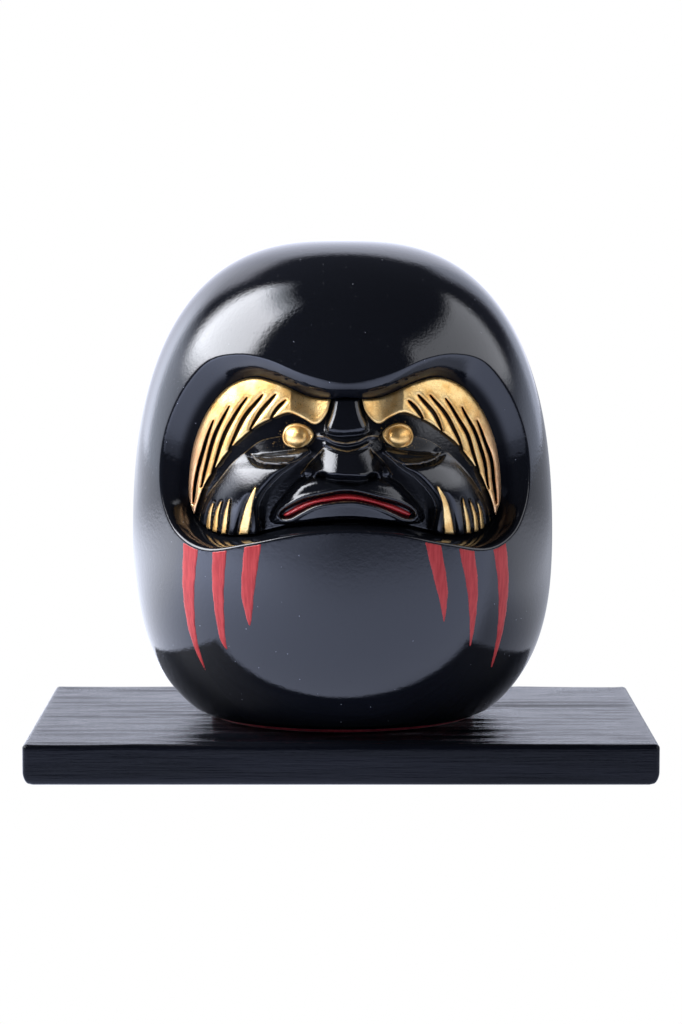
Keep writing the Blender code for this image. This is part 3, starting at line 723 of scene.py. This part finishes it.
def gilt_lines(spot):
    """How far the nearest ridge with worn gold is, and where gold dust has settled."""
    spot = halved(hand_drift(spot))
    lines = [curve(line) for line in WRINKLES + [LID_LOWER, CHEEK_OUTER, ALA_LINE, CHEEK_INNER]]
    gilt = distance(spot, whole(MOUTH), True) + 0.10
    for line, faint in zip(lines, (0.0, 0.0, 0.0, 0.08, 0.05, 0.10)):
        gilt = np.minimum(gilt, distance(spot, line) + faint)
    around_eye = bump(np.maximum(-depth_in(spot, curve(EYE, True)), 0.0), 1.6)
    brow_edge = bump(np.maximum(-depth_in(spot, curve(BROW, True)), 0.0), 0.8)
    bag = bump(oval(spot, (16, 70.6), (2.6, 1)), 2.3)
    dust = np.maximum.reduce([0.75 * around_eye, 0.45 * brow_edge, 0.7 * bag])
    for number in range(len(WHISKERS)):
        dust = np.maximum(dust, 0.8 * bump(np.maximum(whisker_distance(spot, number), 0.0), 0.9))
    nose = bump(oval(spot, (6.5, 64.3), (3, 1.4)), 1.0)
    return gilt, np.maximum(dust, 0.55 * nose)


def make_face(material):
    edge = floor_outline()

    def level(spot):
        return depth_in(spot, edge) - FACE_FIT

    def front(spot, depth):
        return face_y(spot) + 0.6 * (1 - round_edge(depth, 0.6))

    obj = plate("face_carving", FACE_LOW, FACE_HIGH, FACE_CELL, level, front, FACE_THICK)
    gilt, dust = gilt_lines(doll_spots(obj))
    store(obj, "gilt_gap", gilt)
    store(obj, "dust", dust)
    finish_piece(obj, material, "face_insert")


# -------- gilded pieces
def slit_gap(spot):
    """Distance outside the nearest slit of the brow, negative inside it."""
    nearest = np.full(len(spot), FAR)
    for start, end in BROW_SLITS:
        start, end = np.array(start), np.array(end)
        chord = end - start
        outward = np.array([-chord[1], chord[0]])
        line = curve([start, (start + end) / 2 + outward * SLIT_BOW, end])
        gap, along = distance_along(spot, line)
        swell = 0.10 + 0.90 * np.sin(np.pi * np.clip(0.06 + 0.86 * along, 0, 1)) ** 0.7
        nearest = np.minimum(nearest, gap - SLIT_HALF_WIDTH * swell)
    return nearest


def side_spot(spot, side):
    """Spots turned over, for the left side, so that the right half's outlines serve both."""
    return np.column_stack([spot[:, 0] * side, spot[:, 1]])


def gilded_plate(side, kind, sheet, level, front):
    """A piece on one side of the face, and the name of the node it stands for."""
    node = ("left_" if side < 0 else "right_") + kind
    span, heights, cell, thick = sheet
    low, high = sorted([side * span[0], side * span[1]])
    return plate(node + "_gold", (low, heights[0]), (high, heights[1]), cell, level, front, thick), node


def make_brow(side, gold):
    outline, edge = curve(BROW, True), floor_outline()

    def level(spot):
        moved = side_spot(hand_drift(spot), side)
        shape = np.minimum(depth_in(moved, outline), depth_in(spot, edge) - BROW_FIT)
        return np.minimum(shape, slit_gap(moved))

    def front(spot, depth):
        x = side_spot(hand_drift(spot), side)[:, 0]
        return ground_y(spot) - brow_height(x, depth_in(spot, edge)) + 0.6 * (1 - round_edge(depth, 0.9))

    obj, node = gilded_plate(side, "brow", BROW_SHEET, level, front)
    spot = doll_spots(obj)
    # painted reflection: a pinkish tint on the brow near the carving's edge, stronger lower down
    store(obj, "painted_edge_reflection", bump(depth_in(spot, edge), 3.2) * smooth_step(82.0 - spot[:, 1], 0.0, 14.0))
    finish_piece(obj, gold, node)


def make_eye(side, gold):
    outline = curve(EYE, True)

    def level(spot):
        return depth_in(side_spot(spot - (EYE_LEAN, 0), side), outline)

    def front(spot, depth):
        out = oval(side_spot(spot - (EYE_LEAN, 0), side), EYE_CENTRE, EYE_DOME)
        bead = EYE_BEAD * np.clip(1 - out**2, 0, 1) ** 0.62
        rim = 0.35 * bump(depth - 0.35, 0.28)
        return ground_y(spot) - EYE_RISE - rim - bead + 0.4 * (1 - round_edge(depth, 0.4))

    obj, node = gilded_plate(side, "eye", EYE_SHEET, level, front)
    finish_piece(obj, gold, node)


def make_whisker(side, number, gold):
    edge = floor_outline()

    def level(spot):
        moved = side_spot(hand_drift(spot), side)
        return np.minimum(-whisker_distance(moved, number), depth_in(spot, edge) - 0.3)

    def front(spot, depth):
        return face_y(spot) - 0.45 * round_edge(depth, 0.5) + 0.1

    line = WHISKERS[number][0]
    span = (line[0][0] - WHISKER_MARGIN, line[-1][0] + WHISKER_MARGIN)
    obj, node = gilded_plate(side, f"whisker_{number + 1}", (span, *WHISKER_SHEET), level, front)
    finish_piece(obj, gold, node)


def make_lips(red):
    outline, crest = whole(LIPS), curve(LIP_CREST)

    def level(spot):
        return depth_in(hand_drift(spot), outline)

    def front(spot, depth):
        moved = halved(hand_drift(spot))
        ridge = 0.75 * bump(distance(moved, crest), 0.45)
        groove = ground_y(spot) - muzzle_height(moved) + LIPS_SINK
        return groove - 0.9 * round_edge(depth, 0.6) - ridge

    obj = plate("lips_red", LIPS_LOW, LIPS_HIGH, LIPS_CELL, level, front, LIPS_THICK)
    finish_piece(obj, red, "lips")


# -------- painted strokes
def make_stroke(name, line, half_width, paint):
    path, rim = curve(line), rim_outline()

    def level(spot):
        gap, along = distance_along(spot, path)
        half = half_width * np.maximum(1 - along**1.35, 0.0)
        wobble = 0.04 * np.sin(spot[:, 1] * 1.3 + spot[:, 0]) + 0.02 * np.sin(spot[:, 1] * 5.3)
        below_rim = -RIM_ROUND - 0.05 - depth_in(spot, rim)
        return np.minimum(half - gap + wobble * np.minimum(half, 1), below_rim)

    def front(spot, depth):
        rise = PAINT_THICK * round_edge(depth, 0.3)
        return surface_y(*spot.T) - rise + 0.02

    reach = (half_width + 1, 1)
    low, high = path.min(0) - reach, path.max(0) + reach
    obj = plate(f"{name}_stroke_paint", low, high, STROKE_CELL, level, front, STROKE_BACK)
    finish_piece(obj, paint, f"{name}_stroke")


# -------- pad and board
def make_pad(felt):
    """A felt disc with a slightly fuzzy edge."""
    profile = [(0, PAD_HIGH), (PAD_RADIUS - 0.5, PAD_HIGH), (PAD_RADIUS - 0.12, PAD_HIGH - 0.12),
               (PAD_RADIUS, (PAD_LOW + PAD_HIGH) / 2), (PAD_RADIUS - 0.12, PAD_LOW + 0.12),
               (PAD_RADIUS - 0.5, PAD_LOW), (0, PAD_LOW)]
    points, faces = [], []
    rows = len(profile)
    for i in range(PAD_STEPS):
        angle = 2 * math.pi * i / PAD_STEPS
        fuzz = PAD_FUZZ * noise.noise(Vector((math.cos(angle), math.sin(angle), 0)) * 30)
        for radius, z in profile:
            radius += fuzz if radius else 0
            points.append((radius * math.cos(angle), radius * math.sin(angle), z))
        here, there = i * rows, (i + 1) % PAD_STEPS * rows
        faces += [[here + k, here + k + 1, there + k + 1, there + k] for k in range(rows - 1)]
    obj = make_object("foot_felt", points, faces, DOLL_FRAME, merge=True)
    finish_piece(obj, felt, "foot_pad")


def grain_relief(x, y):
    """Raised grain of the stained board, drawn out along x."""
    return sum(height * noise.noise(Vector((x * along, y * across, seed)))
               for height, (along, across), seed in BOARD_GRAIN)


def board_section(inset):
    """The board's cross-section, across y and z about its centre, rounded and moved inwards."""
    half_y, half_z = BOARD_SIZE.y / 2 - inset, BOARD_SIZE.z / 2 - inset
    radius = max(BOARD_ROUND - inset, 0.05)
    arcs = []
    for quarter, (sy, sz) in enumerate([(1, 1), (-1, 1), (-1, -1), (1, -1)]):
        angles = math.pi / 2 * (quarter + np.arange(5) / 4)
        arcs.append(np.column_stack([sy * (half_y - radius) + radius * np.cos(angles),
                                     sz * (half_z - radius) + radius * np.sin(angles)]))
    section = []
    for arc, after, count in zip(arcs, arcs[1:] + arcs[:1], SECTION_STEPS):
        share = np.arange(1, count)[:, None] / count
        section += [arc, arc[-1] + (after[0] - arc[-1]) * share]
    return np.vstack(section)


def board_stations():
    """Places along x of the board's cross-sections, close together at its rounded ends."""
    half = BOARD_SIZE.x / 2
    turn = np.linspace(0.0, math.pi / 2, BOARD_ROUND_STEPS + 1)
    ends = half - BOARD_ROUND * (1 - np.cos(turn))
    middle = np.linspace(-half + 2.5, half - 2.5, BOARD_STATIONS)
    return np.concatenate([-ends, middle, ends[::-1]])


def board_ring(x):
    """The cross-section at x, smaller and turned up at the ends, with an uneven top and front."""
    half_y, half_z = BOARD_SIZE.y / 2, BOARD_SIZE.z / 2
    near = BOARD_SIZE.x / 2 - abs(x)
    inset = BOARD_ROUND - math.sqrt(BOARD_ROUND**2 - max(BOARD_ROUND - near, 0) ** 2)
    lift = LOW_CORNER - math.sqrt(LOW_CORNER**2 - max(LOW_CORNER - near, 0) ** 2)
    fade = min(1.0, near / 3)
    ring = []
    for y, z in board_section(inset):
        z = half_z - (half_z - z) * (1 - lift / BOARD_SIZE.z)
        sink = abs(grain_relief(x, y)) * fade * max(0.0, z / half_z) ** 8
        dent = abs(noise.noise(Vector((x * 0.05, 5, z * 0.8)))) * fade * 0.1 * max(0.0, -y / half_y) ** 30
        ring.append((x, y + dent, z - sink))
    return ring


def make_board(wood):
    rings = [board_ring(x) for x in board_stations()]
    count = len(rings[0])
    numbers = [list(range(i * count, (i + 1) * count)) for i in range(len(rings))]
    faces = [face for here, there in zip(numbers, numbers[1:]) for face in bridge(here, there)]
    faces += [numbers[0], numbers[-1][::-1]]
    obj = make_object("board_wood", np.vstack(rings), faces, BOARD_FRAME)
    shape = bmesh.new()
    shape.from_mesh(obj.data)
    bmesh.ops.recalc_face_normals(shape, faces=shape.faces)
    shape.to_mesh(obj.data)
    shape.free()
    finish_piece(obj, wood, "display_board")


# -------- node helpers
class Nodes:
    """Short calls that add shader nodes to a tree and join them."""

    def __init__(self, owner):
        owner.use_nodes = True
        self.tree = owner.node_tree
        self.tree.nodes.clear()

    def add(self, kind, **inputs):
        return self.fill(self.tree.nodes.new("ShaderNode" + kind), **inputs)

    def fill(self, node, **inputs):
        """Sets or joins inputs given by name, with _ for a space, or by number after a _."""
        for name, value in inputs.items():
            name = name.replace("_", " ").strip()
            socket = node.inputs[int(name)] if name.isdigit() else node.inputs[name]
            if isinstance(value, bpy.types.NodeSocket):
                self.tree.links.new(value, socket)
            else:
                socket.default_value = value
        return node

    def math(self, operation, first, second=0.0):
        node = self.add("Math", _0=first, _1=second)
        node.operation = operation
        return node.outputs[0]

    def times(self, first, second):
        return self.math("MULTIPLY", first, second)

    def step(self, value, low, high, start=0.0, end=1.0):
        """A smooth change from start to end as value goes from low to high."""
        node = self.add("MapRange", _0=value, _1=low, _2=high, _3=start, _4=end)
        node.interpolation_type = "SMOOTHSTEP"
        return node.outputs[0]

    def spread(self, value, start=0.0, end=1.0):
        """A smooth change from start to end over the usual range of a noise."""
        return self.step(value, 0.3, 0.7, start, end)

    def mix(self, share, first, second, blend="MIX"):
        node = self.add("Mix")
        node.data_type = "RGBA"
        node.blend_type = blend
        first, second = [c if isinstance(c, bpy.types.NodeSocket) else (*c, 1.0) for c in (first, second)]
        return self.fill(node, _0=share, _6=first, _7=second).outputs[2]

    def object_place(self, scale=(1, 1, 1)):
        """Coordinates in millimetres, stretched by scale."""
        place = self.add("TexCoord").outputs["Object"]
        return self.add("Mapping", Vector=place, Scale=[s / MM for s in scale]).outputs[0]

    def noise(self, place, scale, detail=3.0, roughness=0.5):
        node = self.add("TexNoise", Vector=place, Scale=scale, Detail=detail, Roughness=roughness)
        return node.outputs["Fac"]

    def pinholes(self, place, scale, share):
        """1 inside small round pits scattered over the surface, 0 elsewhere."""
        node = self.add("TexVoronoi", Vector=place, Scale=scale)
        near = self.step(node.outputs["Distance"], 0.04, 0.10, 1.0, 0.0)
        picked = self.add("SeparateColor", Color=node.outputs["Color"]).outputs[0]
        return self.times(near, self.math("LESS_THAN", picked, share))

    def attribute(self, name):
        node = self.add("Attribute")
        node.attribute_name = name
        return node.outputs["Fac"]

    def relief(self, height, depth, below=None):
        """A bump whose height is in millimetres times depth, on top of the one below."""
        node = self.add("Bump", Height=height, Distance=depth * MM, Strength=1.0)
        if below is not None:
            self.fill(node, Normal=below)
        return node.outputs[0]


def new_material(name):
    made = bpy.data.materials.new(name)
    nodes = Nodes(made)
    shader = nodes.add("BsdfPrincipled")
    nodes.add("OutputMaterial", Surface=shader.outputs[0])
    return made, nodes, shader


# -------- materials
def glaze_material():
    """Deep black glaze, faintly uneven, with small pits and a few pale flecks, and painted shade inside the
    recess: its reflection is turned down near the carving.
    """
    made, nodes, shader = new_material("black_glaze")
    place = nodes.object_place()
    peel = nodes.noise(place, 0.8, 2.0)
    fine = nodes.noise(place, 1.8, 3.0, 0.6)
    pits = nodes.pinholes(place, 0.9, 0.22)
    fleck = nodes.pinholes(place, 0.7, 0.10)
    colour = nodes.mix(nodes.noise(place, 0.06), (0.0030, 0.0034, 0.0046), (0.0048, 0.0054, 0.0072))
    grain = nodes.relief(fine, 0.020, nodes.relief(peel, 0.020))
    nodes.fill(shader, Base_Color=nodes.mix(fleck, colour, (0.30, 0.31, 0.34)),
               Roughness=nodes.spread(fine, 0.025, 0.05), IOR=1.5,
               # painted shade: reflection turned down on the recess wall near the carving
               Specular_IOR_Level=nodes.step(nodes.attribute("hollow"), 0.0, 1.0, 0.5, 0.04),
               Normal=nodes.relief(nodes.times(pits, -1.0), 0.05, grain))
    return made


def gold_inputs(nodes, place):
    """Colour and roughness of worn satin gold."""
    cloud = nodes.noise(place, 0.35, 4.0)
    speck = nodes.noise(place, 3.5, 3.0, 0.7)
    colour = nodes.mix(nodes.spread(cloud), (0.80, 0.45, 0.13), (1.0, 0.70, 0.29))
    colour = nodes.mix(nodes.step(speck, 0.50, 0.75), colour, (0.50, 0.26, 0.08))
    return colour, nodes.spread(speck, 0.26, 0.42)


def gold_material():
    """Worn gold, with a painted pinkish reflection low down along the brows' outer edge."""
    made, nodes, shader = new_material("satin_gold")
    place = nodes.object_place()
    colour, roughness = gold_inputs(nodes, place)
    # painted reflection: pinkish tint along the brow's outer edge
    painted_edge_reflection = nodes.times(nodes.attribute("painted_edge_reflection"), 0.6)
    nodes.fill(shader, Base_Color=nodes.mix(painted_edge_reflection, colour, (0.93, 0.50, 0.30)), Roughness=roughness,
               Metallic=0.85, Normal=nodes.relief(nodes.noise(place, 1.7, 4.0, 0.65), 0.09))
    return made


def face_material():
    """Black glaze with worn gold along the ridges and gold dust in the hollows."""
    made, nodes, shader = new_material("face_glaze")
    place = nodes.object_place()
    fine = nodes.noise(place, 2.4, 3.0, 0.6)
    worn = nodes.step(nodes.noise(place, 0.7), 0.30, 0.62)
    line = nodes.times(nodes.step(nodes.attribute("gilt_gap"), 0.08, 0.24, 0.20, 0.0), worn)
    threshold = nodes.math("SUBTRACT", 0.80, nodes.times(nodes.attribute("dust"), 0.26))
    above = nodes.math("SUBTRACT", nodes.noise(place, 3.4, 3.0, 0.7), threshold)
    share = nodes.math("MAXIMUM", line, nodes.step(above, 0.0, 0.08, 0.0, 0.8))
    gold, _ = gold_inputs(nodes, place)
    rough = nodes.math("ADD", nodes.spread(fine, 0.06, 0.13), nodes.times(share, 0.25))
    nodes.fill(shader, Base_Color=nodes.mix(share, (0.0034, 0.0038, 0.0050), gold),
               Metallic=nodes.times(share, 0.9), Roughness=rough,
               Specular_IOR_Level=nodes.step(nodes.attribute("dust"), 0.05, 0.6, 0.5, 0.16),
               Normal=nodes.relief(fine, 0.030, nodes.relief(nodes.noise(place, 1.6, 2.0), 0.030)))
    return made


def lip_material():
    made, nodes, shader = new_material("lip_red")
    place = nodes.object_place()
    colour = nodes.mix(nodes.noise(place, 0.8, 4.0), (0.26, 0.010, 0.012), (0.50, 0.030, 0.028))
    nodes.fill(shader, Base_Color=colour, Roughness=nodes.spread(nodes.noise(place, 4.0), 0.22, 0.36),
               Normal=nodes.relief(nodes.noise(place, 2.0), 0.03))
    return made


def stroke_material():
    """Brushed red enamel, streaky along the stroke, with pinholes."""
    made, nodes, shader = new_material("stroke_red")
    place = nodes.object_place()
    streak = nodes.noise(nodes.object_place((1.0, 1.0, 0.12)), 1.8)
    pits = nodes.pinholes(place, 0.7, 0.25)
    colour = nodes.mix(nodes.spread(streak), (0.32, 0.022, 0.020), (0.44, 0.045, 0.040))
    wave = nodes.relief(nodes.noise(place, 1.5), 0.03)
    nodes.fill(shader, Base_Color=nodes.mix(pits, colour, (0.10, 0.010, 0.012)),
               Roughness=nodes.spread(streak, 0.28, 0.42), Specular_IOR_Level=0.2,
               Normal=nodes.relief(nodes.times(pits, -1.0), 0.05, wave))
    return made


def felt_material():
    made, nodes, shader = new_material("red_felt")
    place = nodes.object_place()
    fibre = nodes.noise(place, 6.0, 5.0, 0.7)
    colour = nodes.mix(fibre, (0.45, 0.015, 0.030), (0.80, 0.050, 0.075))
    worn = nodes.spread(nodes.noise(place, 0.5), 0.0, 0.4)
    nodes.fill(shader, Base_Color=nodes.mix(worn, colour, (0.16, 0.01, 0.012)), Roughness=0.95,
               Sheen_Weight=0.5, Normal=nodes.relief(fibre, 0.15))
    return made


def wood_material():
    """Black stained wood with the grain along x."""
    made, nodes, shader = new_material("stained_wood")
    fibre = nodes.noise(nodes.object_place((0.03, 1.0, 1.0)), 2.2, 5.0, 0.65)
    band = nodes.noise(nodes.object_place((0.012, 0.16, 0.16)), 1.4, 4.0)
    pore = nodes.noise(nodes.object_place((0.12, 1.6, 1.6)), 3.0, 3.0, 0.7)
    colour = nodes.mix(nodes.step(band, 0.35, 0.65), (0.0022, 0.0026, 0.0042), (0.0060, 0.0066, 0.0095))
    colour = nodes.mix(nodes.step(pore, 0.58, 0.72, 0.0, 0.7), colour, (0.002, 0.002, 0.003))
    nodes.fill(shader, Base_Color=colour, Roughness=nodes.spread(fibre, 0.09, 0.22),
               Specular_IOR_Level=0.13, Normal=nodes.relief(pore, 0.03, nodes.relief(fibre, 0.12)))
    return made


# -------- studio
def panel(nodes, azimuth, elevation, azimuths, elevations, soft):
    """1 inside a soft-edged patch of the studio's walls and ceiling, in degrees."""
    share = 1.0
    for value, (low, high) in ((azimuth, azimuths), (elevation, elevations)):
        rise = nodes.step(value, low - soft, low + soft)
        share = nodes.times(share, nodes.times(rise, nodes.step(value, high - soft, high + soft, 1.0, 0.0)))
    return share


def make_studio_world():
    """White to the camera; to everything else a dark room with a large soft light at the left, a weak one
    at the right and a white backdrop behind."""
    world = bpy.data.worlds.new("studio")
    bpy.context.scene.world = world
    nodes = Nodes(world)
    towards = nodes.add("TexCoord").outputs["Generated"]
    x, y, z = nodes.add("SeparateXYZ", Vector=towards).outputs
    azimuth = nodes.times(nodes.math("ARCTAN2", x, nodes.times(y, -1.0)), math.degrees(1))
    elevation = nodes.times(nodes.math("ARCSINE", z), math.degrees(1))
    aside = nodes.math("ABSOLUTE", azimuth)
    total = STUDIO_DARK
    for name, (azimuths, elevations, soft, colour) in STUDIO_PANELS.items():
        around = aside if name == "backdrop" else azimuth
        share = panel(nodes, around, elevation, azimuths, elevations, soft)
        total = nodes.mix(1.0, total, nodes.mix(share, (0, 0, 0), colour), "ADD")
    camera = nodes.add("LightPath").outputs["Is Camera Ray"]
    background = nodes.add("Background", Color=nodes.mix(camera, total, WHITE), Strength=1.0)
    nodes.add("OutputWorld", Surface=background.outputs[0])


def floor_material():
    """White to the camera; to the doll a lit table, brightest at the left and dimmer far off, with the
    board's shadow on the right. Places are in metres."""
    made = bpy.data.materials.new("white_floor")
    nodes = Nodes(made)
    place = nodes.add("TexCoord").outputs["Object"]
    x, y, _ = nodes.add("SeparateXYZ", Vector=place).outputs
    far = nodes.step(nodes.math("ABSOLUTE", y), 0.08, 0.7, 1.0, 0.35)
    left = nodes.step(x, 0.05, -0.45, 1.0, 2.5)
    beside = nodes.times(nodes.step(x, 0.0, 0.03), nodes.step(y, -0.06, -0.03))
    shadow = nodes.mix(beside, WHITE, nodes.step(x, 0.10, 0.28, 0.38, 0.78))
    tint = nodes.mix(nodes.noise(place, 3.0, 2.0), (1.30, 1.46, 2.02), (1.38, 1.54, 2.10))
    tint = nodes.mix(nodes.step(y, -0.10, 0.10), tint, (1.52, 1.60, 1.86))
    camera = nodes.add("LightPath").outputs["Is Camera Ray"]
    lit = nodes.add("Emission", Color=tint, Strength=nodes.times(nodes.times(far, left), shadow))
    seen = nodes.add("Emission", Color=(*WHITE, 1.0), Strength=1.0)
    both = nodes.add("MixShader", _0=camera, _1=lit.outputs[0], _2=seen.outputs[0])
    nodes.add("OutputMaterial", Surface=both.outputs[0])
    return made


def make_floor():
    shape = bmesh.new()
    bmesh.ops.create_grid(shape, x_segments=8, y_segments=8, size=FLOOR_METRES)
    mesh = bpy.data.meshes.new("studio_floor")
    shape.to_mesh(mesh)
    shape.free()
    mesh.materials.append(floor_material())
    floor = new_object("studio_floor", mesh)
    floor.location.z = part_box("display_board")[0].z - FLOOR_GAP * MM


def make_camera():
    lens = bpy.data.cameras.new("camera")
    lens.lens = CAMERA_LENS
    lens.sensor_width = 36.0
    lens.clip_start, lens.clip_end = 0.05, 50.0
    camera = new_object("camera", lens)
    camera.location = CAMERA_SPOT
    camera.rotation_euler = (math.pi / 2 - CAMERA_PITCH, 0.0, 0.0)
    bpy.context.scene.camera = camera


def main():
    bpy.context.scene.view_settings.view_transform = "Standard"
    gold = gold_material()
    paint = stroke_material()
    make_body(glaze_material())
    make_pad(felt_material())
    make_face(face_material())
    for side in (-1, 1):
        make_brow(side, gold)
        make_eye(side, gold)
        for number in range(len(WHISKERS)):
            make_whisker(side, number, gold)
    make_lips(lip_material())
    for name, (line, half_width) in STROKES.items():
        make_stroke(name, line, half_width, paint)
    make_board(wood_material())
    make_studio_world()
    make_floor()
    make_camera()


main()
